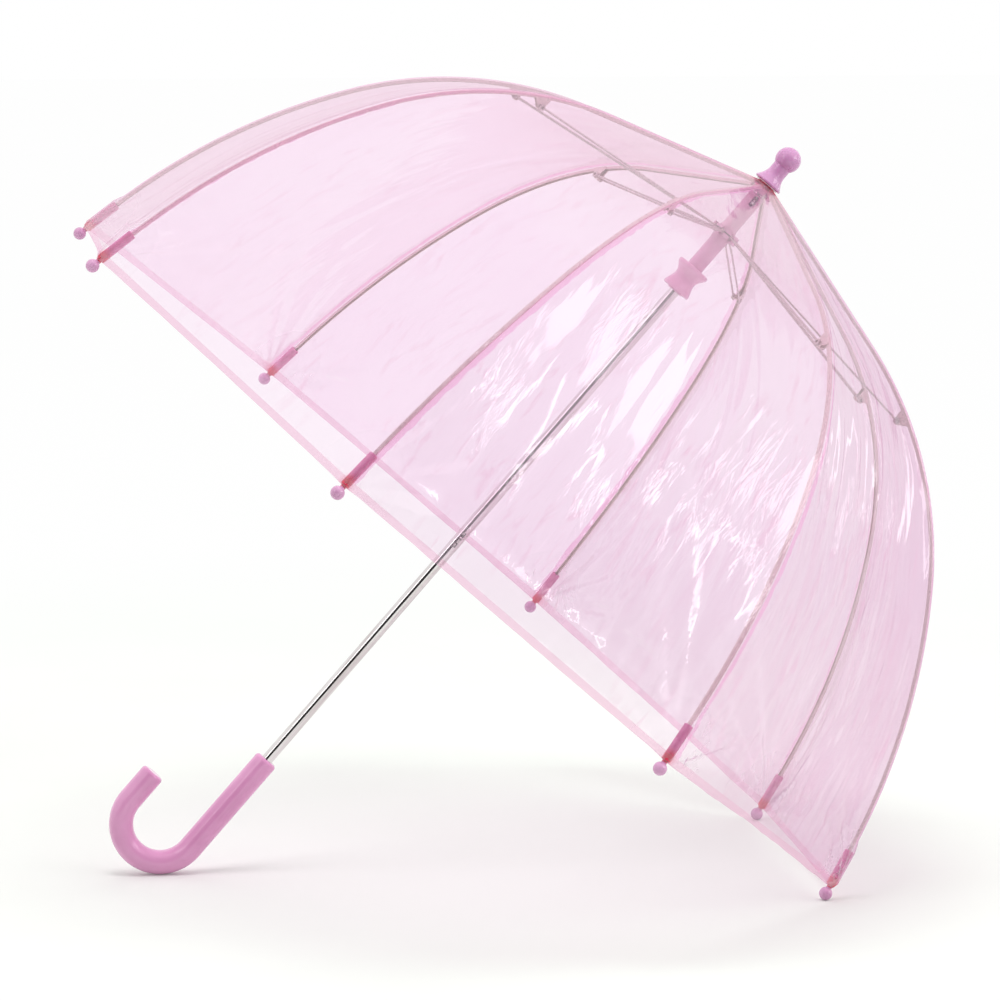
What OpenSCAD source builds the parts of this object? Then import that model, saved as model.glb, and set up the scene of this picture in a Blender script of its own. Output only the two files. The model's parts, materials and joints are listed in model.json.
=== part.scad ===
// Children's dome umbrella: a clear film canopy on eight ribs, opened by a runner that slides on a tube shaft,
// with a ball finial and a hook handle. Built in millimetres as it lies on the floor: on its hook and on the
// balls of the two lowest rib tips. Floor at z = 0, +X towards the canopy, Y across, mirror image about y = 0.

/* [Canopy dome] */
// Radius of the circle through the eight tip balls
tip_circle_radius = 351.5; // [346:0.5:357]
// Depth of the tip balls below the base of the finial
tip_depth = 339; // [334:0.5:344]
// Slope of a rib where it leaves the crown, below the shaft's normal
crown_slope = 16.5; // [15:0.5:18]
// Slope where the tighter shoulder bend ends
shoulder_slope = 54; // [52:1:56]
// Slope of a rib at its tip
tip_slope = 78; // [77:0.5:79]
// Bend radius of the shoulder
shoulder_radius = 265; // [255:5:275]
// Film thickness
film_thickness = 0.3; // [0.3:0.05:0.5]

/* [Ribs] */
// Width of the rib channel
rib_width = 2.6; // [2.4:0.1:2.8]
// Height of the rib channel
rib_height = 2.4; // [2:0.1:2.6]
// Wall of the rib channel
rib_wall = 0.45; // [0.4:0.05:0.5]
// Diameter of the ball on a rib tip
tip_ball_diameter = 9; // [8.5:0.1:9.2]
// Diameter of the sleeve that a rib ends in
tip_sleeve_diameter = 6.3; // [6:0.1:6.6]
// Length of the sleeve
tip_sleeve_length = 27; // [24:0.5:28]

/* [Stretchers] */
// Diameter of the stretcher wire
stretcher_wire = 1.4; // [1.2:0.1:1.4]
// Slope of the rib where the stretcher bracket sits
bracket_slope = 28.2; // [27:0.1:30]
// Drop from the rib to the stretcher rivet
bracket_drop = 6.5; // [6:0.5:7]

/* [Shaft, runner and crown] */
// Shaft diameter
shaft_diameter = 8; // [8:0.1:8.2]
// Shaft tube wall
shaft_wall = 0.7; // [0.6:0.1:0.8]
// Outer diameter of the runner tube
runner_diameter = 12; // [11.8:0.1:12.2]
// Depth of the runner's hinge ring below the finial
runner_depth = 44.3; // [43:0.1:46]
// Depth of the upper flange of the runner grip
grip_flange_depth = 77.5; // [76:0.5:79]
// Distance between the two flanges
grip_flange_spacing = 17.4; // [16:0.2:18]
// Diameter of the finial ball
finial_ball_diameter = 18; // [17:0.5:19]
// Height of the finial ball's centre above the canopy
finial_ball_height = 22; // [21:0.5:23]

/* [Handle] */
// Diameter of the handle
handle_diameter = 16.8; // [16:0.2:17.6]
// Depth of the top of the grip below the finial base
handle_top_depth = 525.5; // [525:0.5:530]
// Depth of the centre of the hook
hook_centre_depth = 607; // [600:1:612]
// Bend radius of the hook along its middle
hook_radius = 27; // [25:0.5:29]
// Straight end beyond the hook's bend
hook_end_length = 24.5; // [20:0.5:28]

/* [Hidden] */
$fn = 48;

rib_count = 8;
rib_pitch = 360 / rib_count;
half_pitch = rib_pitch / 2;

// ---- crown and runner hinge circles
crown_pivot_radius = 7.2;
crown_pivot_depth = 3.4;
runner_pivot_radius = 8.2;
pivot_wire = 0.9;
pivot_bore = 1.3;
eye_radius = 1.5;

// ---- rib curve, in the plane through the shaft: x is the radius, y the height (0 at the finial base).
// A straight run, the shoulder arc, the flatter skirt arc, and a straight end inside the tip sleeve.
tip_straight = 30;
function along(a) = [cos(a), -sin(a)];
function outward(a) = [sin(a), cos(a)];
left_r = tip_circle_radius - crown_pivot_radius
    - shoulder_radius * (sin(shoulder_slope) - sin(crown_slope)) - tip_straight * cos(tip_slope);
left_h = tip_depth - crown_pivot_depth
    - shoulder_radius * (cos(crown_slope) - cos(shoulder_slope)) - tip_straight * sin(tip_slope);
turn_r = sin(tip_slope) - sin(shoulder_slope);
turn_h = cos(shoulder_slope) - cos(tip_slope);
det = cos(crown_slope) * turn_h - sin(crown_slope) * turn_r;
crown_straight = (left_r * turn_h - left_h * turn_r) / det;
skirt_radius = (cos(crown_slope) * left_h - sin(crown_slope) * left_r) / det;

crown_pivot = [crown_pivot_radius, -crown_pivot_depth];
shoulder_start = crown_pivot + crown_straight * along(crown_slope);
shoulder_centre = shoulder_start - shoulder_radius * outward(crown_slope);
shoulder_end = shoulder_centre + shoulder_radius * outward(shoulder_slope);
skirt_centre = shoulder_end - skirt_radius * outward(shoulder_slope);
skirt_end = skirt_centre + skirt_radius * outward(tip_slope);
tip_ball = skirt_end + tip_straight * along(tip_slope);

// The springy rib is split into two stiff halves at this slope, where the fold straightens it
mid_slope = 47;
mid_pivot = shoulder_centre + shoulder_radius * outward(mid_slope);
mid_gap = 1.6;
mid_round = 1.1;
function slope_step(length, radius) = length / radius * 180 / PI;

// ---- bracket rivet and stretcher
rivet = shoulder_centre + shoulder_radius * outward(bracket_slope) - bracket_drop * outward(bracket_slope);
runner_pivot = [runner_pivot_radius, -runner_depth];
stretcher_run = rivet - runner_pivot;
stretcher_length = norm(stretcher_run);
stretcher_slope = -atan2(stretcher_run[1], stretcher_run[0]);

// ---- the fold: where the runner ends when the ribs lie along the shaft
closed_mid_radius = 10;
closed_rib_turn = acos((closed_mid_radius - crown_pivot_radius) / norm(mid_pivot - crown_pivot))
    + atan2(mid_pivot[1] - crown_pivot[1], mid_pivot[0] - crown_pivot[0]);
rivet_arm = norm(rivet - crown_pivot);
rivet_angle = closed_rib_turn - atan2(rivet[1] - crown_pivot[1], rivet[0] - crown_pivot[0]);
closed_rivet = crown_pivot + rivet_arm * along(rivet_angle);
closed_runner_depth = -closed_rivet[1]
    + sqrt(pow(stretcher_length, 2) - pow(closed_rivet[0] - runner_pivot_radius, 2));
runner_travel = closed_runner_depth - runner_depth;

// ---- resting pose: hook and the two lowest tip balls on the floor
shaft_lean = acos((hook_radius + handle_diameter / 2 - tip_ball_diameter / 2)
        / norm([hook_centre_depth - tip_depth, hook_radius + tip_circle_radius * cos(half_pitch)]))
    - atan2(hook_centre_depth - tip_depth, hook_radius + tip_circle_radius * cos(half_pitch));
crown_height = tip_depth * sin(shaft_lean) + tip_circle_radius * cos(half_pitch) * cos(shaft_lean)
    + tip_ball_diameter / 2;

module at_rest() {
    translate([crown_x, 0, crown_height]) rotate([0, 90 - shaft_lean, 0]) children();
}

// A rib's own plane: children are drawn with x as radius, y as height and z across the rib
module rib_plane(k) {
    at_rest() rotate([0, 0, half_pitch + rib_pitch * (k - 1)]) rotate([90, 0, 0]) children();
}

// A solid of revolution about the shaft: points are [radius, height]
module turned(points) {
    rotate_extrude($fn = 64) polygon(points);
}

function reversed(v) = [for (i = [len(v) - 1 : -1 : 0]) v[i]];
function band(stations, low, high) = concat(
    [for (s = stations) s[0] + low * outward(s[1])],
    reversed([for (s = stations) s[0] + high * outward(s[1])]));
// Points along an arc of the rib curve, each [point, slope, distance left before the tip sleeve's straight]
function arc_stations(centre, radius, from, to, step, end_s = 0) =
    let (n = ceil((to - from) / step))
    [for (i = [0 : n]) let (a = from + (to - from) * i / n)
        [centre + radius * outward(a), a, end_s - (to - a) * PI / 180 * radius]];

// Rib channel through a list of stations, open side inwards
module channel(stations) {
    h = rib_height / 2;
    difference() {
        linear_extrude(rib_width, center = true) polygon(band(stations, -h, h));
        linear_extrude(rib_width - 2 * rib_wall, center = true) polygon(band(stations, -h - 1, h - rib_wall));
    }
}

module disc(centre, radius, width, across = 0) {
    translate([centre[0], centre[1], across - width / 2]) cylinder(r = radius, h = width, $fn = 32);
}

// ---- fixed pieces on the shaft
spring_depth = 15.5;
spring_slot_length = 13;
spring_slot_width = 2.4;
spring_positions = [spring_depth, spring_depth + runner_travel];
shaft_top = 14;
shaft_in_handle = 55;

module shaft() {
    color("silver") at_rest() difference() {
        translate([0, 0, -handle_top_depth - shaft_in_handle])
            cylinder(d = shaft_diameter, h = handle_top_depth + shaft_in_handle + shaft_top);
        translate([0, 0, -handle_top_depth - shaft_in_handle - 1])
            cylinder(d = shaft_diameter - 2 * shaft_wall, h = handle_top_depth + shaft_in_handle + shaft_top + 2);
        for (depth = spring_positions)
            translate([-spring_slot_width / 2, -shaft_diameter, -depth - spring_slot_length / 2])
                cube([spring_slot_width, shaft_diameter, spring_slot_length]);
    }
}

handle_edge = 2.6;
module handle_end_section(length) {
    r = handle_diameter / 2;
    rotate_extrude($fn = 64) union() {
        square([r - handle_edge, length]);
        square([r, length - handle_edge]);
        intersection() {
            translate([r - handle_edge, length - handle_edge]) circle(r = handle_edge, $fn = 40);
            square([r, length]);
        }
    }
}

module handle() {
    color("hotpink") at_rest() difference() {
        translate([0, 0, -hook_centre_depth]) union() {
            handle_end_section(hook_centre_depth - handle_top_depth);
            translate([-2 * hook_radius, 0, 0]) handle_end_section(hook_end_length);
            translate([-hook_radius, 0, 0]) rotate([-90, 0, 0])
                rotate_extrude(angle = 180, $fn = 120)
                    translate([hook_radius, 0]) circle(d = handle_diameter, $fn = 64);
        }
        translate([0, 0, -handle_top_depth - shaft_in_handle])
            cylinder(d = shaft_diameter, h = shaft_in_handle + 1);
    }
}

finial_rim_radius = 10.5;
finial_neck_radius = 6.4;
function finial_skirt(n) = [for (i = [0 : n])
    let (t = i / n) [finial_neck_radius + (finial_rim_radius - finial_neck_radius) * pow(1 - t, 2), 1.4 + 9.6 * t]];
module finial() {
    ball = finial_ball_diameter / 2;
    neck_top = finial_ball_height - sqrt(pow(ball, 2) - pow(finial_neck_radius, 2));
    color("plum") at_rest() difference() {
        union() {
            turned(concat([[0, 0], [finial_rim_radius - 0.6, 0], [finial_rim_radius, 0.6]], finial_skirt(10),
                [[finial_neck_radius, neck_top + 1], [0, neck_top + 1]]));
            translate([0, 0, finial_ball_height]) sphere(r = ball, $fn = 64);
        }
        translate([0, 0, -1]) cylinder(d = shaft_diameter, h = shaft_top + 1);
    }
}

module canopy_washer() {
    color("white") at_rest() translate([0, 0, -0.7]) difference() {
        cylinder(r = 8.6, h = 0.6);
        translate([0, 0, -1]) cylinder(d = shaft_diameter, h = 3);
    }
}

// Toothed ring that holds eight hinge eyes on a wire, drawn about the shaft with the wire at height 0
module toothed_ring(core, outer, pivot, low, high, slot) {
    difference() {
        union() {
            translate([0, 0, low]) cylinder(r = outer, h = high - low);
            children();
        }
        for (k = [0 : rib_count - 1]) rotate([0, 0, half_pitch + rib_pitch * k])
            translate([core, -slot / 2, -30]) cube([outer, slot, 60]);
        rotate_extrude($fn = 64) translate([pivot - pivot_wire / 2 - 0.05, -pivot_wire / 2 - 0.05])
            square([outer, pivot_wire + 0.1]);
    }
}

crown_core_radius = 5.4;
module crown_notch() {
    color("white") at_rest() translate([0, 0, -crown_pivot_depth]) difference() {
        toothed_ring(crown_core_radius, 9.4, crown_pivot_radius, -5, 0.2, rib_width + 0.5)
            translate([0, 0, -5.2]) cylinder(r = crown_core_radius, h = 7.2);
        translate([0, 0, -10]) cylinder(d = shaft_diameter, h = 20);
    }
}

module wire_ring(radius, depth) {
    at_rest() translate([0, 0, -depth]) rotate_extrude($fn = 64)
        translate([radius, 0]) circle(d = pivot_wire, $fn = 24);
}
module crown_wire() { color("gray") wire_ring(crown_pivot_radius, crown_pivot_depth); }

// Leaf catch inside the tube, with a rounded nose that stands out of its slot
nose_reach = 1.2;
module catch_spring(depth) {
    leaf = 0.5;
    leaf_width = 1.8;
    leaf_length = 22;
    inner = 1.9;
    at_rest() translate([0, 0, -depth]) union() {
        translate([-leaf_width / 2, -inner - leaf, -leaf_length / 2]) cube([leaf_width, leaf, leaf_length]);
        intersection() {
            translate([-leaf_width / 2, -shaft_diameter / 2 - nose_reach, -5])
                cube([leaf_width, shaft_diameter / 2 + nose_reach - inner, 10]);
            translate([-leaf_width, -1.5, 0]) rotate([0, 90, 0])
                cylinder(r = shaft_diameter / 2 + nose_reach - 1.5, h = 2 * leaf_width);
        }
    }
}
module top_spring() { color("dimgray") catch_spring(spring_positions[0]); }
module bottom_spring() { color("dimgray") catch_spring(spring_positions[1]); }

// ---- runner
runner_top = 9.8;
runner_bottom = grip_flange_depth + grip_flange_spacing + 2.2;
runner_bore = shaft_diameter + 0.6;
runner_core = 6.5;
runner_ring_radius = 10.8;
groove_width = 3;
module runner() {
    r = runner_diameter / 2;
    color("mistyrose") at_rest() translate([0, 0, -runner_depth]) difference() {
        toothed_ring(runner_core, runner_ring_radius, runner_pivot_radius, -3.4, 2.6, 3.2)
            turned([[0, runner_depth - runner_bottom], [r, runner_depth - runner_bottom], [r, -9],
                [runner_core, -6], [runner_core, 4], [r, 6], [r, runner_depth - runner_top - 0.8],
                [r - 0.8, runner_depth - runner_top], [0, runner_depth - runner_top]]);
        translate([0, 0, -100]) cylinder(d = runner_bore, h = 200);
        translate([-groove_width / 2, -shaft_diameter / 2 - nose_reach - 0.3, -100])
            cube([groove_width, shaft_diameter / 2, 200]);
        translate([0, 0, runner_depth - spring_depth]) {
            for (z = [-2.2, 2.2]) translate([0, -4, z]) rotate([90, 0, 0]) cylinder(r = 2.1, h = 8, $fn = 32);
            translate([-2.1, -12, -2.2]) cube([4.2, 8, 4.4]);
        }
    }
}

function spool(t) = 0.5 - 0.5 * cos(360 * t);
module runner_grip() {
    top = 12.2;
    low = 10.6;
    waist = 8.25;
    flange = 1.5;
    n = 16;
    h = grip_flange_spacing - 2 * flange;
    color("plum") at_rest() translate([0, 0, -grip_flange_depth - grip_flange_spacing]) difference() {
        turned(concat(
            [[0, -flange], [low - 0.6, -flange], [low, -flange + 0.6], [low, flange - 0.5]],
            [for (i = [0 : n]) let (t = i / n, edge = low + (top - low) * t)
                [edge - 0.4 - (edge - 0.4 - waist) * pow(spool(t), 0.6), flange + h * t]],
            [[top, grip_flange_spacing - flange + 0.5], [top, grip_flange_spacing + flange - 0.6],
                [top - 0.6, grip_flange_spacing + flange], [0, grip_flange_spacing + flange]]));
        translate([0, 0, -5]) cylinder(d = runner_diameter, h = 40);
    }
}

module runner_wire() { color("gray") wire_ring(runner_pivot_radius, runner_depth); }

// ---- ribs
rib_step = 2;
eye_plate = 1.7;
module rib_upper(k) {
    channel_start = 2.4;
    color("lightgray") rib_plane(k) difference() {
        union() {
            channel(concat([[crown_pivot + channel_start * along(crown_slope), crown_slope]],
                arc_stations(shoulder_centre, shoulder_radius, crown_slope,
                    mid_slope - slope_step(mid_gap, shoulder_radius), rib_step)));
            disc(crown_pivot, eye_radius, eye_plate);
            translate([crown_pivot[0], crown_pivot[1], -eye_plate / 2]) rotate([0, 0, -crown_slope])
                translate([0, -0.9, 0]) cube([5, 1.8, eye_plate]);
            disc(mid_pivot, mid_round, 1);
            translate([mid_pivot[0], mid_pivot[1], -0.5]) rotate([0, 0, 180 - mid_slope])
                translate([0, -0.75, 0]) cube([4, 1.5, 1]);
            // the plug that joins the tongue to the channel
            translate([mid_pivot[0], mid_pivot[1], -rib_width / 2 + 0.1]) rotate([0, 0, 180 - mid_slope])
                translate([mid_gap + 0.6, -0.75, 0]) cube([2.4, 1.5, rib_width - 0.2]);
        }
        disc(crown_pivot, pivot_bore / 2, 10);
    }
}

module rib_lower(k) {
    cheek = 0.5;
    color("lightgray") rib_plane(k) union() {
        channel(concat(
            arc_stations(shoulder_centre, shoulder_radius,
                mid_slope + slope_step(mid_gap, shoulder_radius), shoulder_slope - 1, rib_step),
            arc_stations(skirt_centre, skirt_radius, shoulder_slope + 1, tip_slope, rib_step),
            [[tip_ball - (tip_ball_diameter / 2 + 4) * along(tip_slope), tip_slope]]));
        for (side = [-1, 1]) {
            disc(mid_pivot, mid_round, cheek, side * (rib_width - cheek) / 2);
            translate([mid_pivot[0], mid_pivot[1], side * (rib_width - cheek) / 2 - cheek / 2])
                rotate([0, 0, -mid_slope]) translate([0, -0.9, 0]) cube([3, 1.8, cheek]);
        }
    }
}

// Two cheek plates and the rivet that the stretcher hangs on
plate_thickness = 0.6;
module rib_bracket(k) {
    foot = 6;
    nose = 2.5;
    color("gray") rib_plane(k) {
        for (side = [-1, 1]) translate([rivet[0], rivet[1], side * (rib_width / 2 + 0.35)])
            rotate([0, 0, -bracket_slope]) difference() {
                union() {
                    translate([0, 0, -plate_thickness / 2]) linear_extrude(plate_thickness)
                        polygon([[-foot, bracket_drop + 0.9], [foot, bracket_drop + 0.9],
                            [foot, bracket_drop - 0.9], [nose, 0], [-nose, 0], [-foot, bracket_drop - 0.9]]);
                    translate([0, 0, -plate_thickness / 2]) cylinder(r = nose, h = plate_thickness);
                }
                translate([0, 0, -2]) cylinder(r = 0.9, h = 4);
            }
        disc(rivet, 0.9, rib_width + 1.5);
        for (side = [-1, 1]) disc(rivet, 1.7, 0.14, side * (rib_width / 2 + 0.73));
    }
}

// Moulded tip: a sleeve over the rib's end, a neck in the canopy's corner and a ball outside it
module rib_tip(k) {
    r = tip_sleeve_diameter / 2;
    ball = tip_ball_diameter / 2;
    neck = 1.9;
    neck_end = -sqrt(pow(ball, 2) - pow(neck, 2));
    sleeve_end = -ball - 1.6;
    sleeve_start = sleeve_end - tip_sleeve_length;
    bore_end = -ball - 3;
    color("hotpink") rib_plane(k) translate([tip_ball[0], tip_ball[1], 0]) rotate([0, 0, -tip_slope])
        rotate([0, 90, 0]) difference() {
            union() {
                turned([[0, sleeve_start], [r - 0.5, sleeve_start], [r, sleeve_start + 0.5],
                    [r, sleeve_end - 0.6], [r - 0.6, sleeve_end], [neck, sleeve_end], [neck, neck_end + 0.4],
                    [0, neck_end + 0.4]]);
                sphere(r = ball, $fn = 48);
            }
            translate([0, 0, sleeve_start - 1]) cylinder(d = 3.9, h = bore_end - sleeve_start + 1);
        }
}

// ---- stretchers: a wire bent double, closed at the runner and spread at the rib to straddle the bracket
inner_spread = stretcher_wire / 2 + 0.03;
outer_spread = 3.1;
kink = [34, 2.6];
kink_swell = 0.15;
kink_band = 2.4;
function heading(from, to) = atan2(to[1] - from[1], to[0] - from[0]);
module straight_wire(from, to) {
    translate([from[0], from[1], 0]) rotate([0, 0, heading(from, to)]) rotate([0, 90, 0])
        cylinder(d = stretcher_wire, h = norm(to - from), $fn = 24);
}

// One leg: it opens steeply, bends at the kink, where a short band of swollen wire covers the bend, and runs on almost straight
module stretcher_arm() {
    start = [0.9, inner_spread];
    end = [stretcher_length - 1, outer_spread];
    rotate([90, 0, 0]) {
        straight_wire(start, kink);
        translate([kink[0], kink[1], 0]) rotate([0, 0, (heading(start, kink) + heading(kink, end)) / 2])
            rotate([0, 90, 0]) cylinder(d = stretcher_wire + 2 * kink_swell, h = kink_band, center = true, $fn = 32);
        straight_wire(kink, end);
    }
}

module stretcher(k) {
    color("silver") rib_plane(k) translate([runner_pivot[0], runner_pivot[1], 0])
        rotate([0, 0, -stretcher_slope]) difference() {
            union() {
                disc([0, 0], eye_radius, 2 * inner_spread + stretcher_wire);
                stretcher_arm();
                mirror([0, 0, 1]) stretcher_arm();
                for (side = [-1, 1]) disc([stretcher_length, 0], 2.2, stretcher_wire, side * outer_spread);
            }
            disc([0, 0], pivot_bore / 2, 10);
            disc([stretcher_length, 0], 1, 20);
        }
}

// ---- canopy: eight gores of film, each flat across and bent only along the ribs
film_offset = 2.1;
sleeve_bulge = 1.9;
hem_gap = tip_ball_diameter / 2 + 0.7;
hem_run = tip_straight - hem_gap;
arc_step = 3;
crown_reach = 0.9;
function sleeve_lift(s) = sleeve_bulge * min(1, max(0, (s + 26) / 22));
film_stations = concat(
    [[crown_pivot - crown_reach * along(crown_slope), crown_slope, -1000]],
    arc_stations(shoulder_centre, shoulder_radius, crown_slope, shoulder_slope - 1, arc_step, -900),
    arc_stations(skirt_centre, skirt_radius, shoulder_slope + 1, tip_slope, arc_step),
    [for (s = [hem_run / 2, hem_run]) [skirt_end + s * along(tip_slope), tip_slope, s]]);
function film_edge(lift) = [for (s = film_stations)
    let (p = s[0] + (film_offset + sleeve_lift(s[2]) + lift) * outward(s[1]))
    [p[0] * cos(half_pitch), p[1]]];

// Centres the resting part on x = 0: the two highest rib tips are its left end, the film of the lowest gore its right end
reach_right = max([for (p = film_edge(film_thickness)) p[0] * sin(shaft_lean) + p[1] * cos(shaft_lean)]);
reach_left = tip_depth * cos(shaft_lean) + tip_circle_radius * cos(half_pitch) * sin(shaft_lean)
    + tip_ball_diameter / 2;
crown_x = (reach_left - reach_right) / 2;

module canopy_panel(k) {
    reach = tip_circle_radius + 20;
    color("pink", 0.5) at_rest() rotate([0, 0, rib_pitch * k]) intersection() {
        rotate([90, 0, 0]) linear_extrude(reach * 1.2, center = true)
            polygon(concat(film_edge(0), reversed(film_edge(film_thickness))));
        translate([0, 0, -tip_depth - 20]) linear_extrude(tip_depth + 40)
            polygon([[0, 0], reach * [cos(half_pitch), -sin(half_pitch)] * 1.2,
                reach * [cos(half_pitch), sin(half_pitch)] * 1.2]);
    }
}

shaft();
handle();
finial();
canopy_washer();
crown_notch();
crown_wire();
top_spring();
bottom_spring();
runner();
runner_grip();
runner_wire();
for (k = [1 : rib_count]) {
    rib_upper(k);
    rib_lower(k);
    rib_bracket(k);
    rib_tip(k);
    stretcher(k);
    canopy_panel(k);
}
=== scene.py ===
"""Children's dome umbrella: clear pink film on eight ribs, open, lying on its hook and two lowest tips."""
import json
import math

import bpy
import numpy as np
from mathutils import Matrix, Vector


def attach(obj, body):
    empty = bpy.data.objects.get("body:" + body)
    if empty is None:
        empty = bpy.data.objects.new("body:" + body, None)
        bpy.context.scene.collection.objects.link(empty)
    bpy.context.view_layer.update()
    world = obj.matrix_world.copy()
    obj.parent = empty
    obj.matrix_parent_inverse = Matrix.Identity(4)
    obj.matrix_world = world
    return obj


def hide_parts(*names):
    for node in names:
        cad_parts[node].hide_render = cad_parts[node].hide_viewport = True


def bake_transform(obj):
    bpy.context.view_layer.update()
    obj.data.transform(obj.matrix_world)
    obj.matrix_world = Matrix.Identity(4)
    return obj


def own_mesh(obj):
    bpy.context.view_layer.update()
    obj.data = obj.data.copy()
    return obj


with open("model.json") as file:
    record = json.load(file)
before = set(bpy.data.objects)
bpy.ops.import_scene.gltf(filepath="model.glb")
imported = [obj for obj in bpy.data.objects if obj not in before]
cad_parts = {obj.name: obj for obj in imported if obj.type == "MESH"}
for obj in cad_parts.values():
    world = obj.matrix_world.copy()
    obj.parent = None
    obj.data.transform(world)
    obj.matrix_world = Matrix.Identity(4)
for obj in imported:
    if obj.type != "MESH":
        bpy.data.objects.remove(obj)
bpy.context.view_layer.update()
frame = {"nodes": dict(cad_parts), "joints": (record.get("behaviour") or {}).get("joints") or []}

nodes = frame["nodes"]
joints = {joint["name"]: joint for joint in frame["joints"]}
scene = bpy.context.scene
RIBS = 8
GORE_DEGREES = 360.0 / RIBS
MM = 0.001


# ---------------------------------------------------------------- the umbrella's own axes
def unit(v):
    v = np.asarray(v, float)
    return v / np.linalg.norm(v)


def unit_rows(v):
    return v / np.maximum(np.linalg.norm(v, axis=-1, keepdims=True), 1e-12)


UP_SHAFT = -unit(joints["runner_slide"]["axis"])
ACROSS = np.array([0.0, 1.0, 0.0])
FLOORWARD = np.cross(ACROSS, UP_SHAFT)
hinges = [np.array(joints[f"rib_upper_hinge_{k}"]["pos_m"]) for k in range(1, RIBS + 1)]
CROWN_PIVOT_R, CROWN_PIVOT_D = 7.2 * MM, 3.4 * MM
CROWN = np.mean(hinges, axis=0) + CROWN_PIVOT_D * UP_SHAFT


def rib_angle(k):
    return math.radians(GORE_DEGREES * (k - 0.5))


def radial(phi):
    return math.cos(phi) * FLOORWARD + math.sin(phi) * ACROSS


def place(r, h, phi):
    """Points at radius r and height h above the finial's base, in the plane at angle phi round the shaft."""
    return CROWN + np.multiply.outer(r, radial(phi)) + np.multiply.outer(h, UP_SHAFT)


# ---------------------------------------------------------------- rib curve
CROWN_SLOPE, MID_SLOPE, SHOULDER_SLOPE, TIP_SLOPE = (math.radians(a) for a in (16.5, 47.0, 54.0, 78.0))
SHOULDER_R = 265 * MM
TIP_R, TIP_D, TIP_STRAIGHT = 351.5 * MM, 339 * MM, 30 * MM
BALL_R = 4.5 * MM


def along(a):
    return np.array([np.cos(a), -np.sin(a)])


def outward(a):
    return np.array([np.sin(a), np.cos(a)])


# the crown's straight length and the skirt's radius are the two unknowns that bring the curve to the tip
across_and_down = np.array([TIP_R - CROWN_PIVOT_R, -(TIP_D - CROWN_PIVOT_D)])
shoulder_run = SHOULDER_R * (outward(SHOULDER_SLOPE) - outward(CROWN_SLOPE))
still_to_go = across_and_down - shoulder_run - TIP_STRAIGHT * along(TIP_SLOPE)
skirt_turn = outward(TIP_SLOPE) - outward(SHOULDER_SLOPE)
CROWN_STRAIGHT, SKIRT_R = np.linalg.solve(np.column_stack([along(CROWN_SLOPE), skirt_turn]), still_to_go)
S_SHOULDER = CROWN_STRAIGHT
S_SKIRT = S_SHOULDER + SHOULDER_R * (SHOULDER_SLOPE - CROWN_SLOPE)
S_TIP = S_SKIRT + SKIRT_R * (TIP_SLOPE - SHOULDER_SLOPE)
S_BALL = S_TIP + TIP_STRAIGHT
S_MID = S_SHOULDER + SHOULDER_R * (MID_SLOPE - CROWN_SLOPE)


def column(v):
    return v[:, None]


def rib_curve(s):
    """Points (radius, height) and slopes of a rib's centre line at the lengths s from the crown hinge."""
    s = np.asarray(s, float)
    start = np.array([CROWN_PIVOT_R, -CROWN_PIVOT_D])
    shoulder = start + CROWN_STRAIGHT * along(CROWN_SLOPE)
    skirt = shoulder + SHOULDER_R * (outward(SHOULDER_SLOPE) - outward(CROWN_SLOPE))
    tip = skirt + SKIRT_R * (outward(TIP_SLOPE) - outward(SHOULDER_SLOPE))
    shoulder_a = CROWN_SLOPE + (s - S_SHOULDER) / SHOULDER_R
    skirt_a = np.minimum(SHOULDER_SLOPE + (s - S_SKIRT) / SKIRT_R, TIP_SLOPE)
    a = np.where(s < S_SHOULDER, CROWN_SLOPE, np.where(s < S_SKIRT, shoulder_a, skirt_a))
    crown_p = column(start) + s * column(along(CROWN_SLOPE))
    shoulder_p = column(shoulder) + SHOULDER_R * (outward(a) - column(outward(CROWN_SLOPE)))
    skirt_p = column(skirt) + SKIRT_R * (outward(a) - column(outward(SHOULDER_SLOPE)))
    tip_p = column(tip) + (s - S_TIP) * column(along(TIP_SLOPE))
    lower_p = np.where(s < S_SKIRT, shoulder_p, np.where(s < S_TIP, skirt_p, tip_p))
    return np.where(s < S_SHOULDER, crown_p, lower_p), a


def rib_point(s, phi, off=0.0):
    """One point at length s of the rib at angle phi, moved outwards off its centre line by off."""
    p, a = rib_curve([s])
    q = p[:, 0] + off * outward(a[0])
    return place(q[0], q[1], phi)


def smooth(t):
    t = np.clip(t, 0.0, 1.0)
    return t * t * (3.0 - 2.0 * t)


# ---------------------------------------------------------------- smooth random fields
LATTICE = 64


def field(x, y, seed):
    """Smooth noise, about -1 to 1, that changes over one unit of x and of y."""
    table = np.random.default_rng(seed).uniform(-1.0, 1.0, (LATTICE, LATTICE))
    x, y = np.broadcast_arrays(np.asarray(x, float), np.asarray(y, float))
    i, j = np.floor(x).astype(int), np.floor(y).astype(int)
    u, v = smooth(x - i), smooth(y - j)

    def at(a, b):
        return table[(i + a) % LATTICE, (j + b) % LATTICE]

    return (at(0, 0) * (1 - u) + at(1, 0) * u) * (1 - v) + (at(0, 1) * (1 - u) + at(1, 1) * u) * v


def wave(size, x, s, seed, strength=1.0, shift=0.0):
    """A smooth random wave; size gives its height, its length across a gore and its length down the gore."""
    height, across, down = size
    return height * strength * field(x / across + shift, s / down, seed)


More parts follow.
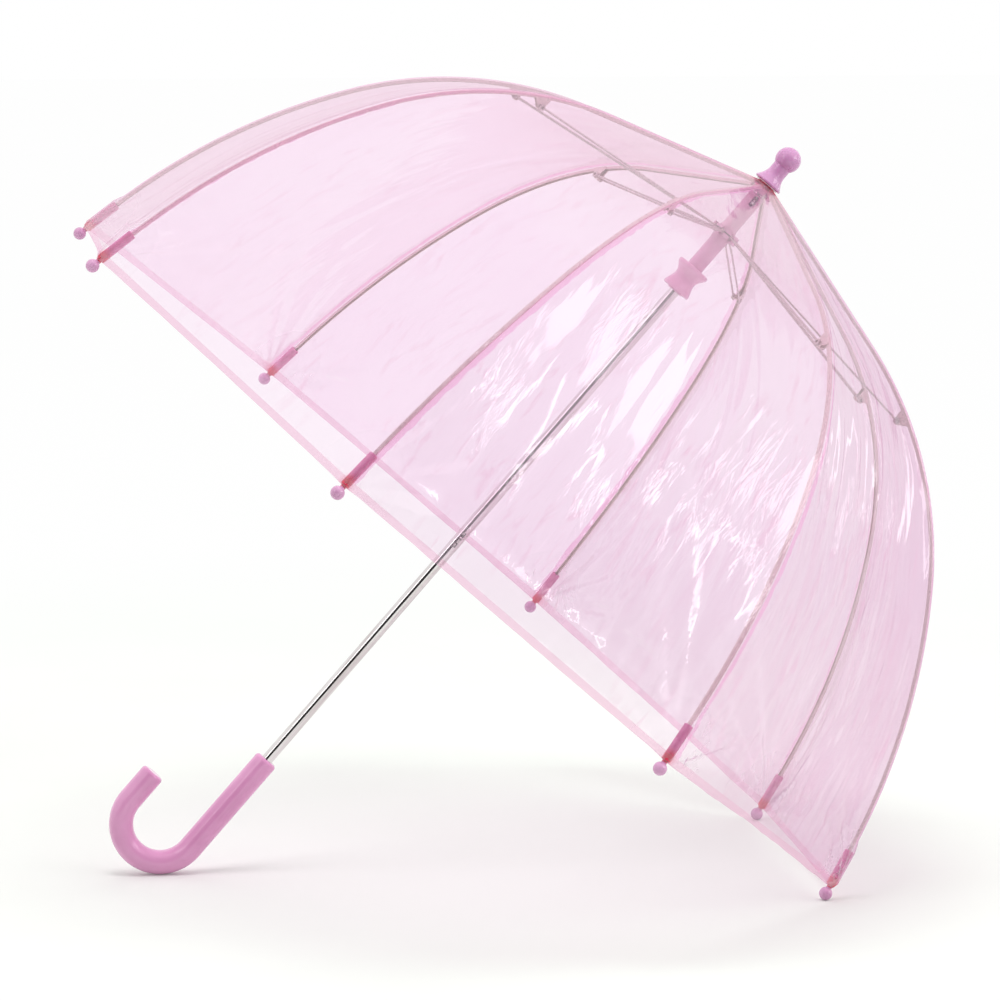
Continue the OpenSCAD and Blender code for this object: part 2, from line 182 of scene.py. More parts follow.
# ---------------------------------------------------------------- materials
class Nodes:
    """Shorthand for building a node tree: constants go straight onto the shaders' own sockets."""

    def __init__(self, name):
        self.mat = bpy.data.materials.new(name)
        self.mat.use_nodes = True
        self.tree = self.mat.node_tree
        self.tree.nodes.clear()
        self.out = self.add("ShaderNodeOutputMaterial")

    def add(self, kind, inputs=None, **props):
        node = self.tree.nodes.new(kind)
        for key, value in props.items():
            setattr(node, key, value)
        for key, value in (inputs or {}).items():
            self.put(node.inputs[key], value)
        return node

    def put(self, socket, value):
        if isinstance(value, bpy.types.NodeSocket):
            self.tree.links.new(value, socket)
        else:
            socket.default_value = value

    def math(self, op, a, b=0.0, clamp=False):
        return self.add("ShaderNodeMath", {0: a, 1: b}, operation=op, use_clamp=clamp).outputs[0]

    def times(self, a, b, clamp=False):
        return self.math("MULTIPLY", a, b, clamp)

    def mix(self, factor, a, b):
        node = self.add("ShaderNodeMix", data_type="RGBA")
        self.put(node.inputs[0], factor)
        self.put(node.inputs[6], a)
        self.put(node.inputs[7], b)
        return node.outputs[2]

    def ramp(self, value, low, high, to_low=0.0, to_high=1.0):
        inputs = {0: value, 1: low, 2: high, 3: to_low, 4: to_high}
        return self.add("ShaderNodeMapRange", inputs, interpolation_type="SMOOTHSTEP").outputs[0]

    def tones(self, noise, a, b, low=0.3, high=0.7):
        """Colour a, turning into colour b as the noise goes from low to high."""
        return self.mix(self.ramp(noise, low, high), (*a, 1), (*b, 1))

    def blend(self, factor, a, b):
        """Shader a, turning into shader b as the factor goes from 0 to 1."""
        return self.add("ShaderNodeMixShader", {0: factor, 1: a.outputs[0], 2: b.outputs[0]})

    def attribute(self, name):
        return self.add("ShaderNodeAttribute", attribute_name=name).outputs["Fac"]

    def coords(self):
        return self.add("ShaderNodeTexCoord").outputs["Object"]

    def on_film(self, across, down):
        """The film's own map, in metres, stretched by a scale across the gore and one down it."""
        source = self.add("ShaderNodeUVMap", uv_map=FILM_MAP).outputs[0]
        return self.add("ShaderNodeMapping", {0: source, 3: (across, down, 1.0)}).outputs[0]

    def noise(self, vector, scale, detail=2.0, rough=0.5, distortion=0.0):
        inputs = {"Vector": vector, "Scale": scale, "Detail": detail,
                  "Roughness": rough, "Distortion": distortion}
        return self.add("ShaderNodeTexNoise", inputs).outputs["Fac"]

    def bump(self, height, distance, strength=1.0):
        inputs = {"Height": height, "Distance": distance, "Strength": strength}
        return self.add("ShaderNodeBump", inputs).outputs[0]

    def finish(self, shader):
        self.put(self.out.inputs["Surface"], shader.outputs[0])
        return self.mat


def shaft_axis_coords(n, stretch):
    """Object coordinates turned so that Z runs along the shaft, squeezed along it."""
    lean = math.atan2(UP_SHAFT[0], UP_SHAFT[2])
    turn = {0: n.coords(), 2: (0.0, -lean, 0.0)}
    turned = n.add("ShaderNodeMapping", turn, vector_type="POINT").outputs[0]
    return n.add("ShaderNodeMapping", {0: turned, 3: (1, 1, stretch)}).outputs[0]


PLASTIC_IOR = 1.49
PLASTIC_RIPPLE, METAL_RIPPLE = 0.03 * MM, 0.01 * MM
RIPPLES_PER_TONE = 14
GLOW_DEPTHS = (4 * MM, 2 * MM, 3 * MM)


def plastic(name, colour, deep, rough=0.16, scale=60.0, coat=0.35, glow=0.0):
    """Moulded plastic: a slow tone change, a fine ripple, a glossy skin; glow is how much light goes in."""
    n = Nodes(name)
    tone = n.noise(n.coords(), scale, 3.0)
    fine = n.noise(n.coords(), scale * RIPPLES_PER_TONE)
    return n.finish(n.add("ShaderNodeBsdfPrincipled", {
        "Base Color": n.tones(tone, deep, colour),
        "Roughness": n.ramp(fine, 0.3, 0.7, rough * 0.8, rough * 1.3),
        "IOR": PLASTIC_IOR, "Coat Weight": coat, "Coat Roughness": 0.06,
        "Subsurface Weight": glow, "Subsurface Radius": GLOW_DEPTHS,
        "Normal": n.bump(n.math("ADD", n.times(tone, 2.0), fine), PLASTIC_RIPPLE)}))


def metal(name, colour, dark, rough=0.2, stretch=None, scale=300.0, metallic=1.0):
    """Drawn or plated metal with a fine tone, drawn out along the shaft where stretch is given."""
    n = Nodes(name)
    tone = n.noise(shaft_axis_coords(n, stretch) if stretch else n.coords(), scale, 3.0, 0.6)
    return n.finish(n.add("ShaderNodeBsdfPrincipled", {
        "Base Color": n.tones(tone, colour, dark, 0.35, 0.75), "Metallic": metallic,
        "Roughness": n.ramp(tone, 0.3, 0.7, rough * 0.7, rough * 1.4),
        "Normal": n.bump(tone, METAL_RIPPLE)}))


FILM_MAP = "film_metres"
# the film's two tones where it is seen square on, and the two where it turns away
FILM_TONES = (0.987, 0.878, 0.966), (0.995, 0.906, 0.981)
TURNED_TONES = (0.87, 0.68, 0.77), (0.91, 0.74, 0.83)
TURNED_FROM, TURNED_TO = 0.36, 0.80
# how much the darker places take of their colour, which a power deepens where the film turns away; the seam,
# hem, crown, collar and tip are doubled or gathered film, while the slack gores, their creases and their
# streaks are painted shade
FILM_TINTS_AND_PAINTED_SHADE = {
    # painted shade: the slack gores next to the floor, their fine creases and their long streaks are tinted
    # darker
    "painted_shade_low_gores": (0.85, (0.90, 0.775, 0.862)),
    "painted_shade_creases": (0.45, (0.92, 0.66, 0.80)),
    "streak": (0.5, (0.90, 0.69, 0.81)),
    "seam": (0.95, (0.95, 0.56, 0.80)),
    "hem": (0.85, (0.93, 0.63, 0.77)),
    "crown": (0.7, (0.90, 0.64, 0.68)),
    "collar": (0.9, (0.80, 0.16, 0.24)),
    "tip": (0.85, (0.86, 0.30, 0.42)),
}
TURNED_POWER = 1.3
HAZE, WELD_HAZE = 0.14, 0.08
HAZE_THROUGH, HAZE_BACK = (0.90, 0.71, 0.83, 1), (0.90, 0.75, 0.86, 1)
FILM_IOR = 1.5
SKIN_GAIN, SKIN_MOST = 1.15, 0.26
SKIN_ROUGH, TIP_ROUGH = 0.075, 0.4
CRINKLE_HEIGHT, CRINKLE_STRENGTH = 1.0 * MM, 0.8


def film_material():
    """Clear pink film: a tinted see-through body that deepens where it turns away, a trace of haze, a soft
    glossy crinkled skin, darker welds and gathers, and painted shade on the slack gores, their creases and
    streaks."""
    n = Nodes("clear_pink_film")
    loosely, beside, down_rib = n.attribute("slack"), n.attribute("seam_mm"), n.attribute("crown_mm")
    crinkle_long = n.noise(n.on_film(1.0, 0.13), 62.0, 3.0, 0.5, 0.3)
    crinkle_fine = n.noise(n.on_film(1.0, 0.22), 150.0, 3.0, 0.55, 0.5)
    loose = n.times(n.ramp(n.noise(n.on_film(1.0, 0.6), 17.0), 0.42, 0.62), loosely)
    cloud = n.noise(n.on_film(1.0, 0.5), 9.0)
    ragged = n.ramp(n.noise(n.on_film(1.0, 1.0), 70.0), 0.3, 0.7, -0.6, 0.6)
    where = {
        # painted shade over the slack gores next to the floor, where the gore's slack is greatest
        "painted_shade_low_gores": n.ramp(loosely, 0.9, 1.6),
        # painted shade along the fine crinkles of the loose film
        "painted_shade_creases": n.times(n.ramp(crinkle_fine, 0.52, 0.70), loose, clamp=True),
        "seam": n.times(n.ramp(n.math("ADD", beside, ragged), 5.0, 6.2, 1.0, 0.0), n.ramp(beside, 1.3, 2.0)),
        "hem": n.ramp(n.attribute("hem_mm"), 5.0, 5.8, 1.0, 0.0),
        "crown": n.ramp(down_rib, 6.0, 34.0, 1.0, 0.0),
        "collar": n.ramp(down_rib, 3.0, 9.0, 1.0, 0.0),
        "tip": n.ramp(n.attribute("tip_mm"), 1.0, 11.0, 1.0, 0.0),
    }
    # painted shade in long streaks down the slack gores
    where["streak"] = n.times(n.ramp(crinkle_long, 0.50, 0.68), where["painted_shade_low_gores"])

    def clear(tones, power):
        tint = n.tones(cloud, *tones)
        for place_name, (amount, colour) in FILM_TINTS_AND_PAINTED_SHADE.items():
            tint = n.mix(n.times(where[place_name], amount), tint, (*(c ** power for c in colour), 1))
        return n.add("ShaderNodeBsdfTransparent", {"Color": tint})

    facing = n.add("ShaderNodeLayerWeight", {"Blend": 0.5}).outputs["Facing"]
    turned = n.ramp(facing, TURNED_FROM, TURNED_TO)
    body = n.blend(turned, clear(FILM_TONES, 1.0), clear(TURNED_TONES, TURNED_POWER))
    through = n.add("ShaderNodeBsdfTranslucent", {"Color": HAZE_THROUGH})
    back = n.add("ShaderNodeBsdfDiffuse", {"Color": HAZE_BACK})
    welds = n.math("ADD", where["seam"], n.math("ADD", where["hem"], where["crown"]))
    body = n.blend(n.math("ADD", n.times(welds, WELD_HAZE), HAZE), body, n.blend(0.5, through, back))
    height = n.math("ADD", n.times(crinkle_long, 0.55), n.times(n.times(crinkle_fine, loose), 0.9))
    normal = n.bump(height, CRINKLE_HEIGHT, CRINKLE_STRENGTH)
    rough = n.ramp(n.attribute("tip_mm"), 25.0, 70.0, TIP_ROUGH, SKIN_ROUGH)
    gloss = n.add("ShaderNodeBsdfGlossy", {"Color": (1, 0.98, 1, 1), "Roughness": rough, "Normal": normal})
    fresnel = n.add("ShaderNodeFresnel", {"IOR": FILM_IOR, "Normal": normal}).outputs[0]
    skin = n.math("MINIMUM", n.times(fresnel, SKIN_GAIN), SKIN_MOST)
    return n.finish(n.blend(skin, body, gloss))


BALL_EDGE, NECK = (4.7 * MM, 5.6 * MM), (9 * MM, 17 * MM)


def tip_material(k):
    """One moulding: lilac ball, mauve sleeve and crimson neck, told apart by distance from the ball."""
    n = Nodes(f"rib_tip_{k}")
    centre = tuple(rib_point(S_BALL, rib_angle(k)))
    away = n.add("ShaderNodeVectorMath", {0: n.coords(), 1: centre}, operation="DISTANCE").outputs["Value"]
    tone = n.noise(n.coords(), 220.0)
    sleeve = n.tones(tone, (0.60, 0.16, 0.34), (0.70, 0.23, 0.44))
    sleeve = n.mix(n.ramp(away, *NECK, 0.9, 0.0), sleeve, (0.66, 0.03, 0.07, 1))
    ball = n.tones(tone, (0.59, 0.28, 0.48), (0.67, 0.35, 0.56))
    return n.finish(n.add("ShaderNodeBsdfPrincipled", {
        "Base Color": n.mix(n.ramp(away, *BALL_EDGE, 1.0, 0.0), sleeve, ball),
        "Roughness": n.ramp(tone, 0.3, 0.7, 0.14, 0.26), "IOR": PLASTIC_IOR,
        "Coat Weight": 0.4, "Coat Roughness": 0.08, "Normal": n.bump(tone, PLASTIC_RIPPLE)}))


def dress(name, material):
    node = nodes[name]
    node.data.materials.clear()
    node.data.materials.append(material)


chrome = metal("chromed_tube", (0.80, 0.77, 0.77), (0.60, 0.54, 0.54), 0.1, stretch=0.06, scale=420.0)
steel = metal("rib_steel", (0.80, 0.67, 0.65), (0.62, 0.50, 0.49), 0.34, scale=500.0, metallic=0.35)
wire = metal("stretcher_steel", (0.64, 0.53, 0.53), (0.46, 0.37, 0.38), 0.3, scale=600.0, metallic=0.55)
spring_steel = metal("spring_steel", (0.6, 0.58, 0.56), (0.25, 0.24, 0.23), 0.25, scale=500.0)
pink = plastic("handle_plastic", (0.76, 0.35, 0.59), (0.69, 0.29, 0.52), 0.12, 40.0, coat=0.6)
lilac = plastic("finial_plastic", (0.62, 0.31, 0.54), (0.55, 0.25, 0.47), 0.15, 60.0, glow=0.15)
pale = plastic("runner_plastic", (0.76, 0.46, 0.60), (0.70, 0.39, 0.54), 0.2, 70.0, glow=0.15)
rosy = plastic("grip_plastic", (0.78, 0.44, 0.60), (0.71, 0.37, 0.53), 0.2, 70.0, glow=0.15)
dusky = plastic("notch_plastic", (0.72, 0.42, 0.55), (0.66, 0.35, 0.48), 0.25, 90.0)
pale_washer = plastic("clear_washer", (0.86, 0.78, 0.82), (0.80, 0.70, 0.76), 0.15, 90.0)
dress("shaft", chrome)
dress("handle", pink)
dress("finial", lilac)
dress("runner", pale)
dress("runner_grip", rosy)
dress("crown_notch", dusky)
dress("canopy_washer", pale_washer)
for name in ("crown_wire", "runner_wire"):
    dress(name, wire)
for name in ("top_spring", "bottom_spring"):
    dress(name, spring_steel)
for k in range(1, RIBS + 1):
    dress(f"rib_bracket_{k}", steel)
    dress(f"stretcher_{k}", wire)
    dress(f"rib_tip_{k}", tip_material(k))


# ---------------------------------------------------------------- meshes
def mesh_object(name, points, faces, material, shade_smooth=True):
    mesh = bpy.data.meshes.new(name)
    mesh.from_pydata([tuple(p) for p in points], [], faces)
    mesh.materials.append(material)
    mesh.polygons.foreach_set("use_smooth", [shade_smooth] * len(mesh.polygons))
    mesh.update()
    obj = bpy.data.objects.new(name, mesh)
    scene.collection.objects.link(obj)
    return obj


# ---------------------------------------------------------------- ribs
RIB_W, RIB_H, RIB_WALL, RIB_CORNER = 2.6 * MM, 2.4 * MM, 0.45 * MM, 0.35 * MM
RIB_FROM, RIB_TO, RIB_STATIONS = 2.4 * MM, S_BALL - BALL_R - 4 * MM, 170
EYE_RADII, EYE_STEPS = (1.5 * MM, 0.65 * MM), 28
PLATE_HALF = 0.85 * MM
TONGUE_ENDS, TONGUE_HALF_H = (1.2 * MM, 5.0 * MM), 0.9 * MM


def channel(phi, sideways):
    """The rib's channel, open on its inner side; its web and its two walls close its ends."""
    w, h = RIB_W / 2, RIB_H / 2
    outer = [(-w, -h), (-w, h - RIB_CORNER), (-w + RIB_CORNER, h),
             (w - RIB_CORNER, h), (w, h - RIB_CORNER), (w, -h)]
    inner = [(w - RIB_WALL, -h), (w - RIB_WALL, h - RIB_WALL),
             (-w + RIB_WALL, h - RIB_WALL), (-w + RIB_WALL, -h)]
    section = outer + inner
    p, a = rib_curve(np.linspace(RIB_FROM, RIB_TO, RIB_STATIONS))
    lines = []
    for x, y in section:
        q = p + y * outward(a)
        lines.append(place(q[0], q[1], phi) + x * sideways)
    m = len(section)
    faces = [(i * m + j, i * m + (j + 1) % m, (i + 1) * m + (j + 1) % m, (i + 1) * m + j)
             for i in range(RIB_STATIONS - 1) for j in range(m)]
    wall, web, other_wall = (0, 1, 8, 9), (1, 2, 3, 4, 7, 8), (4, 5, 6, 7)
    for base, order in ((0, 1), ((RIB_STATIONS - 1) * m, -1)):
        for part in (wall, web, other_wall):
            faces.append(tuple(base + v for v in part[::order]))
    return list(np.stack(lines, axis=1).reshape(-1, 3)), faces


def crown_eye(phi, sideways, first):
    """The flattened eye, a ring about the crown wire; first is the number of its first point."""
    hinge = rib_curve([0.0])[0][:, 0]
    points, faces = [], []
    for i in range(EYE_STEPS):
        t = 2 * math.pi * i / EYE_STEPS
        for radius in EYE_RADII:
            q = hinge + radius * np.array([math.cos(t), math.sin(t)])
            for side in (-PLATE_HALF, PLATE_HALF):
                points.append(place(q[0], q[1], phi) + side * sideways)
    for i in range(EYE_STEPS):
        b, c = first + 4 * i, first + 4 * ((i + 1) % EYE_STEPS)
        faces += [(b + v, b + w, c + w, c + v) for v, w in ((0, 1), (1, 3), (3, 2), (2, 0))]
    return points, faces


def tongue(phi, sideways, first):
    """The short bar that joins the eye to the channel; first is the number of its first point."""
    points = [rib_point(s, phi, off) + side * sideways
              for s in TONGUE_ENDS
              for off in (-TONGUE_HALF_H, TONGUE_HALF_H)
              for side in (-PLATE_HALF, PLATE_HALF)]
    box = [(0, 1, 5, 4), (3, 2, 6, 7), (2, 0, 4, 6), (1, 3, 7, 5), (0, 2, 3, 1), (4, 5, 7, 6)]
    return points, [tuple(first + v for v in face) for face in box]


def make_rib(k):
    """One springy channel from the crown hinge to the tip, built as one piece and attached to no body."""
    phi = rib_angle(k)
    sideways = np.cross(UP_SHAFT, radial(phi))
    points, faces = channel(phi, sideways)
    for part in (crown_eye, tongue):
        more_points, more_faces = part(phi, sideways, len(points))
        points += more_points
        faces += more_faces
    # flat shading keeps the facets of the section crisp
    rib = mesh_object(f"rib_{k}", points, faces, steel, shade_smooth=False)
    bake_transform(rib)
    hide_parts(f"rib_upper_{k}", f"rib_lower_{k}")


for k in range(1, RIBS + 1):
    make_rib(k)

# ---------------------------------------------------------------- film
FILM_START, FILM_END = -2.4 * MM, S_BALL - 5.2 * MM
FILM_OFFSET = 2.3 * MM
SLEEVE_LIFT, SLEEVE_RISE, SLEEVE_FALL = 1.9 * MM, 9 * MM, 3 * MM
SLEEVE_FROM, SLEEVE_TO = S_BALL - 33 * MM, S_BALL - 7 * MM
ROWS, COLUMNS, CROWDING = 132, 46, 1.25
# each wave's height, its length across the gore and its length down it
BILLOW = (1.9 * MM, 60 * MM, 190 * MM)
DRIFT = (6 * MM, 80 * MM, 110 * MM)
FOLDS = (0.95 * MM, 16 * MM, 150 * MM)
CRINKLES = (0.38 * MM, 7 * MM, 85 * MM)
SAG = 3.5 * MM
HEM_WAVE, HEM_WAVE_LENGTH, HEM_REACH = 1.1 * MM, 24 * MM, 60 * MM
FAN, FANS_PER_RADIAN, FAN_REACH = 2.2 * MM, 8.5, 70 * MM
CREASES, CREASE, CREASE_SPREAD, CREASE_LEAN, CREASE_MIDDLE = 4, 0.4 * MM, 90 * MM, 0.22, 300 * MM
GATHERS, GATHER, GATHER_REACH = 4, 0.5 * MM, 150 * MM
STILL_EDGE = 14 * MM
NO_SEAM = 1.0


def film_line(s):
    """The film's own line over a rib: above the channel, lifted over the tip sleeve."""
    p, a = rib_curve(s)
    rise = smooth((s - SLEEVE_FROM + SLEEVE_RISE) / SLEEVE_RISE)
    fall = smooth((SLEEVE_TO + SLEEVE_FALL / 2 - s) / SLEEVE_FALL)
    return p + (FILM_OFFSET + SLEEVE_LIFT * rise * fall) * outward(a)


def slack(gore):
    """How loosely a gore hangs: the top gores are drawn tight, the ones next to the floor are slack."""
    middle = rib_angle(gore) + math.pi / RIBS
    return 0.30 + 1.45 * (1 + math.cos(middle)) / 2


def fans(x, to_hem, half, loose, seed):
    """Pleats that run out from the two tips, where the film's corners are drawn together."""
    total = 0.0
    for side, at in ((-1, 0), (1, 1)):
        u = half - side * x
        reach = np.hypot(u, to_hem)
        angle = np.arctan2(u, to_hem + 1e-6)
        pleats = field(angle * FANS_PER_RADIAN, 0.3 + at, seed + 7 + at)
        fade = np.exp(-reach / FAN_REACH) * smooth(reach / STILL_EDGE)
        total = total + (0.5 + loose) * FAN * pleats * fade
    return total


def packing_creases(x, s, loose, seed):
    """Soft fold lines kept from the film's packing."""
    rng = np.random.default_rng(seed + 11)
    total = 0.0
    for _ in range(CREASES):
        start = rng.uniform(-0.7, 0.7) * CREASE_SPREAD
        lean = rng.uniform(-CREASE_LEAN, CREASE_LEAN)
        width = rng.uniform(2, 4) * MM
        across = x - start - lean * (s - CREASE_MIDDLE)
        ridge = CREASE * loose * rng.choice([-1, 1]) * np.exp(-(across / width) ** 2)
        total = total + ridge * smooth((s - 60 * MM) / (120 * MM))
    return total


def wrinkles(x, s, half, gore):
    """How far the film stands out, at x across from a gore's middle line and s down it.
    half is the gore's half width there."""
    seed = 100 * gore
    loose = slack(gore)
    down = smooth(s / (150 * MM))
    to_hem = FILM_END - s
    drift = wave(DRIFT, x, s, seed + 2)
    patches = smooth(0.5 + 0.9 * field(x / (70 * MM), s / (130 * MM) + 3, seed + 3))
    size = loose * (0.25 + 0.75 * patches)
    d = -SAG * (1 - (x / half) ** 2) * down
    d += wave(BILLOW, x, s, seed + 1, loose, shift=7) * down
    d += wave(FOLDS, x + drift, s, seed + 4, size) * (0.4 + 0.6 * down)
    d += wave(CRINKLES, x + 1.4 * drift, s, seed + 5, size) * (0.4 + 0.6 * down)
    d += HEM_WAVE * loose * field(x / HEM_WAVE_LENGTH, 0.5, seed + 6) * smooth(1 - to_hem / HEM_REACH)
    d += fans(x, to_hem, half, loose, seed)
    d += packing_creases(x, s, loose, seed)
    gathers = GATHER * field(x / np.maximum(half, 6 * MM) * GATHERS, s / (60 * MM), seed + 12)
    d += gathers * smooth(s / (12 * MM)) * smooth(1 - s / GATHER_REACH)
    return d * smooth((half - np.abs(x)) / STILL_EDGE)


def gore_surface(k):
    """The film of gore k on a grid, with rows down the rib and columns across both halves."""
    s = FILM_START + (FILM_END - FILM_START) * np.linspace(0, 1, ROWS)
    mid_row = int(np.argmin(np.abs(s - S_MID)))
    s = s + (S_MID - s[mid_row]) * np.interp(s, [FILM_START, S_MID, FILM_END], [0, 1, 0])
    line = film_line(s)
    one = place(line[0], line[1], rib_angle(k))
    two = place(line[0], line[1], rib_angle(k + 1))
    t = np.linspace(-1, 1, 2 * COLUMNS + 1)
    # columns crowd towards the ribs, where the film bends most
    t = np.sign(t) * (1 - (1 - np.abs(t)) ** CROWDING)
    base = (one[:, None] * (1 - t)[None, :, None] + two[:, None] * (1 + t)[None, :, None]) / 2
    half = np.linalg.norm(two - one, axis=1) / 2
    middle = (one + two) / 2
    normal = unit_rows(np.cross(unit_rows(two - one), unit_rows(np.gradient(middle, axis=0))))
    under_the_dome = CROWN - 300 * MM * UP_SHAFT
    if np.sum(normal[ROWS // 2] * (middle[ROWS // 2] - under_the_dome)) < 0:
        normal = -normal
    x = half[:, None] * t[None, :]
    grid_s = np.broadcast_to(s[:, None], x.shape)
    grid_half = np.broadcast_to(half[:, None], x.shape)
    points = base + wrinkles(x, grid_s, grid_half, k)[..., None] * normal[:, None]
    facing = unit_rows(np.cross(np.gradient(points, axis=1), np.gradient(points, axis=0)))
    facing *= np.sign(np.sum(facing * normal[:, None], axis=2))[..., None]
    grids = {"points": points, "normals": facing, "base": base, "x": x, "s": grid_s, "half": grid_half}
    return grids, mid_row


def grid_faces(points, normals):
    """Quads over a grid of points, turned to face along the grid's normals."""
    rows, cols = points.shape[:2]
    faces = [(i * cols + j, i * cols + j + 1, (i + 1) * cols + j + 1, (i + 1) * cols + j)
             for i in range(rows - 1) for j in range(cols - 1)]
    p = points.reshape(-1, 3)
    a, b, c, _ = faces[len(faces) // 2]
    if np.dot(np.cross(p[b] - p[a], p[c] - p[a]), normals.reshape(-1, 3)[a]) < 0:
        faces = [face[::-1] for face in faces]
    return faces


def mark_film(mesh, values, flat, normals):
    """Gives a film mesh the values, the map and the smooth normals that the film's material reads."""
    for name, value in values.items():
        attribute = mesh.attributes.new(name, "FLOAT", "POINT")
        attribute.data.foreach_set("value", value.reshape(-1).astype(np.float32))
    uv = mesh.uv_layers.new(name=FILM_MAP)
    corner = np.zeros(len(mesh.loops), np.int32)
    mesh.loops.foreach_get("vertex_index", corner)
    uv.data.foreach_set("uv", flat[corner].astype(np.float32).reshape(-1))
    mesh.normals_split_custom_set_from_vertices([tuple(v) for v in normals.reshape(-1, 3)])


def make_film_piece(gore, grids, mid_row, side, part):
    """One quarter of a gore: side a lies on rib gore, side b on the next rib; part is upper or lower."""
    rows = slice(0, mid_row + 1) if part == "upper" else slice(mid_row, ROWS)
    cols = slice(0, COLUMNS + 1) if side == "a" else slice(COLUMNS, 2 * COLUMNS + 1)
    k = gore if side == "a" else gore % RIBS + 1
    points, normals, base, x, s, half = (grid[rows, cols] for grid in grids.values())
    obj = mesh_object(f"film_{gore}_{side}_{part}", points.reshape(-1, 3), grid_faces(points, normals), film)
    edge, to_hem = half - np.abs(x), FILM_END - s
    # a rib's seam lies on side a of its own gore; side b is put a metre off, out of the seam's reach
    beside = edge if side == "a" else edge + NO_SEAM
    values = {"seam_mm": beside / MM, "hem_mm": to_hem / MM, "tip_mm": np.hypot(edge * 1.4, to_hem) / MM,
              "crown_mm": s / MM, "slack": np.full(x.shape, slack(gore))}
    # each gore takes its own stretch of the crinkle pattern
    flat = np.column_stack([x.reshape(-1) + 0.7 * gore, s.reshape(-1) + 0.31 * gore])
    mark_film(obj.data, values, flat, normals)
    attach(obj, f"rib_{part}_{k}")
    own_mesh(obj)
    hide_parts(f"canopy_panel_{gore}")


film = film_material()
for gore in range(1, RIBS + 1):
    grids, mid_row = gore_surface(gore)
    for side in "ab":
        for part in ("upper", "lower"):
            make_film_piece(gore, grids, mid_row, side, part)

# ---------------------------------------------------------------- floor, world, lights
FLOOR_HALF = 12.0
FLOOR_TONES = (0.757, 0.79, 0.747), (0.777, 0.81, 0.767)
FLOOR_LIFT = 0.09
GLOW_FROM, GLOW_TO, GLOW_MOST = 0.55, 1.6, 0.97


def floor_material():
    """Pale studio paper, lifted a little, that runs into plain white away from the umbrella."""
    n = Nodes("studio_floor")
    base = n.tones(n.noise(n.coords(), 3.0, 4.0), *FLOOR_TONES)
    matt = {"Base Color": base, "Roughness": 0.9, "Specular IOR Level": 0.1}
    paper = n.add("ShaderNodeBsdfPrincipled", matt)
    lift = n.add("ShaderNodeEmission", {"Color": (1.0, 0.995, 0.975, 1), "Strength": 1.0})
    glow = n.add("ShaderNodeEmission", {"Color": (1.0, 1.0, 1.0, 1), "Strength": 1.0})
    away = n.add("ShaderNodeVectorMath", {0: n.coords()}, operation="LENGTH").outputs["Value"]
    near = n.blend(FLOOR_LIFT, paper, lift)
    return n.finish(n.blend(n.ramp(away, GLOW_FROM, GLOW_TO, 0.0, GLOW_MOST), near, glow))


floor_corners = [(i * FLOOR_HALF, j * FLOOR_HALF, 0.0) for i, j in ((-1, -1), (1, -1), (1, 1), (-1, 1))]
mesh_object("floor", floor_corners, [(0, 1, 2, 3)], floor_material())

AIM = Vector((CROWN[0] - 184.978 * MM, 0.0, CROWN[2] - 216.364 * MM))
VIEW_AZ, VIEW_EL, VIEW_ROLL, VIEW_AWAY = -6.83097, 7.74212, 0.0306, 3.23956
LENS, SENSOR, CLIP_END = 169.0665, 36.0, 60.0
DARK_AZ, DARK_EL, DARK_FROM, DARK_TO = -8, 6, 0.45, 0.93
SKY_BRIGHT, SKY_DARK = 1.0, 0.03


def seen_from(az, el):
    """The direction towards azimuth az and elevation el, both in degrees; azimuth 0 is the near side."""
    az, el = math.radians(az), math.radians(el)
    return Vector((math.sin(az) * math.cos(el), -math.cos(az) * math.cos(el), math.sin(el)))


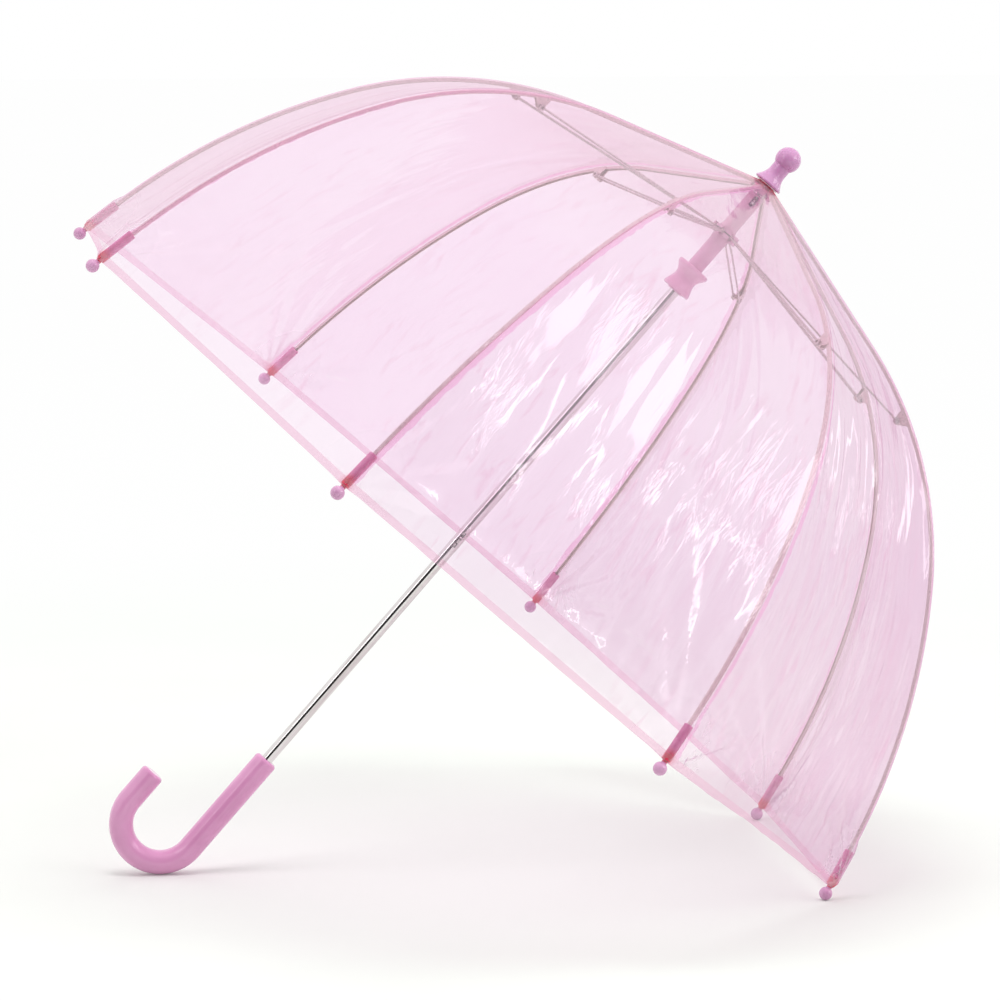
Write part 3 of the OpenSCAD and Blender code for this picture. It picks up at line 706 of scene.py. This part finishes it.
def make_world():
    """An even white sky, with a dark side behind the camera that gives the chrome its dark streak."""
    world = bpy.data.worlds.new("studio")
    scene.world = world
    # the sky is not sampled as a lamp, because it is nearly even
    world.cycles.sampling_method = "NONE"
    world.use_nodes = True
    tree = world.node_tree
    tree.nodes.clear()
    source = tree.nodes.new("ShaderNodeTexCoord")
    towards = tree.nodes.new("ShaderNodeVectorMath")
    towards.operation = "DOT_PRODUCT"
    towards.inputs[1].default_value = seen_from(DARK_AZ, DARK_EL)
    shade = tree.nodes.new("ShaderNodeMapRange")
    shade.interpolation_type = "SMOOTHSTEP"
    for i, value in enumerate((DARK_FROM, DARK_TO, SKY_BRIGHT, SKY_DARK), 1):
        shade.inputs[i].default_value = value
    sky = tree.nodes.new("ShaderNodeBackground")
    sky.inputs[0].default_value = (1.0, 1.0, 1.0, 1)
    out = tree.nodes.new("ShaderNodeOutputWorld")
    tree.links.new(source.outputs["Generated"], towards.inputs[0])
    tree.links.new(towards.outputs["Value"], shade.inputs[0])
    tree.links.new(shade.outputs[0], sky.inputs[1])
    tree.links.new(sky.outputs[0], out.inputs[0])


make_world()


def lamp(name, az, el, away, size, radiance, mirrored=True):
    """A soft box at azimuth az and elevation el round the aim point, aimed at it. radiance is its brightness
    as seen; a box that isn't mirrored shows in no reflection."""
    data = bpy.data.lights.new(name, "AREA")
    data.shape = "RECTANGLE"
    data.size, data.size_y = size
    data.energy = radiance * math.pi * size[0] * size[1]
    obj = bpy.data.objects.new(name, data)
    toward = seen_from(az, el)
    obj.location = AIM + away * toward
    obj.rotation_euler = toward.to_track_quat("Z", "Y").to_euler()
    obj.visible_glossy = mirrored
    scene.collection.objects.link(obj)


lamp("ceiling_box", -20, 80, 2.6, (1.2, 1.0), 8.0, mirrored=False)
lamp("right_box", 64, 22, 3.0, (1.3, 1.0), 3.6)
lamp("right_strip", 40, 18, 2.9, (0.12, 1.2), 7.0)
lamp("side_strip", 118, 5, 3.0, (0.16, 1.2), 2.2)
lamp("side_box", 92, 6, 3.0, (0.4, 0.7), 2.4)
lamp("left_strip", -52, 34, 3.0, (0.3, 1.4), 4.0)
lamp("back_box", 170, 45, 3.2, (2.0, 1.2), 1.2, mirrored=False)

camera = bpy.data.cameras.new("camera")
camera.lens, camera.sensor_width = LENS, SENSOR
camera.clip_end = CLIP_END
viewer = bpy.data.objects.new("camera", camera)
toward = seen_from(VIEW_AZ, VIEW_EL)
viewer.location = AIM + VIEW_AWAY * toward
roll = Matrix.Rotation(math.radians(VIEW_ROLL), 3, "Z")
viewer.rotation_euler = (toward.to_track_quat("Z", "Y").to_matrix() @ roll).to_euler()
scene.collection.objects.link(viewer)
scene.camera = viewer

scene.view_settings.view_transform = "Standard"
scene.cycles.transparent_max_bounces = 24
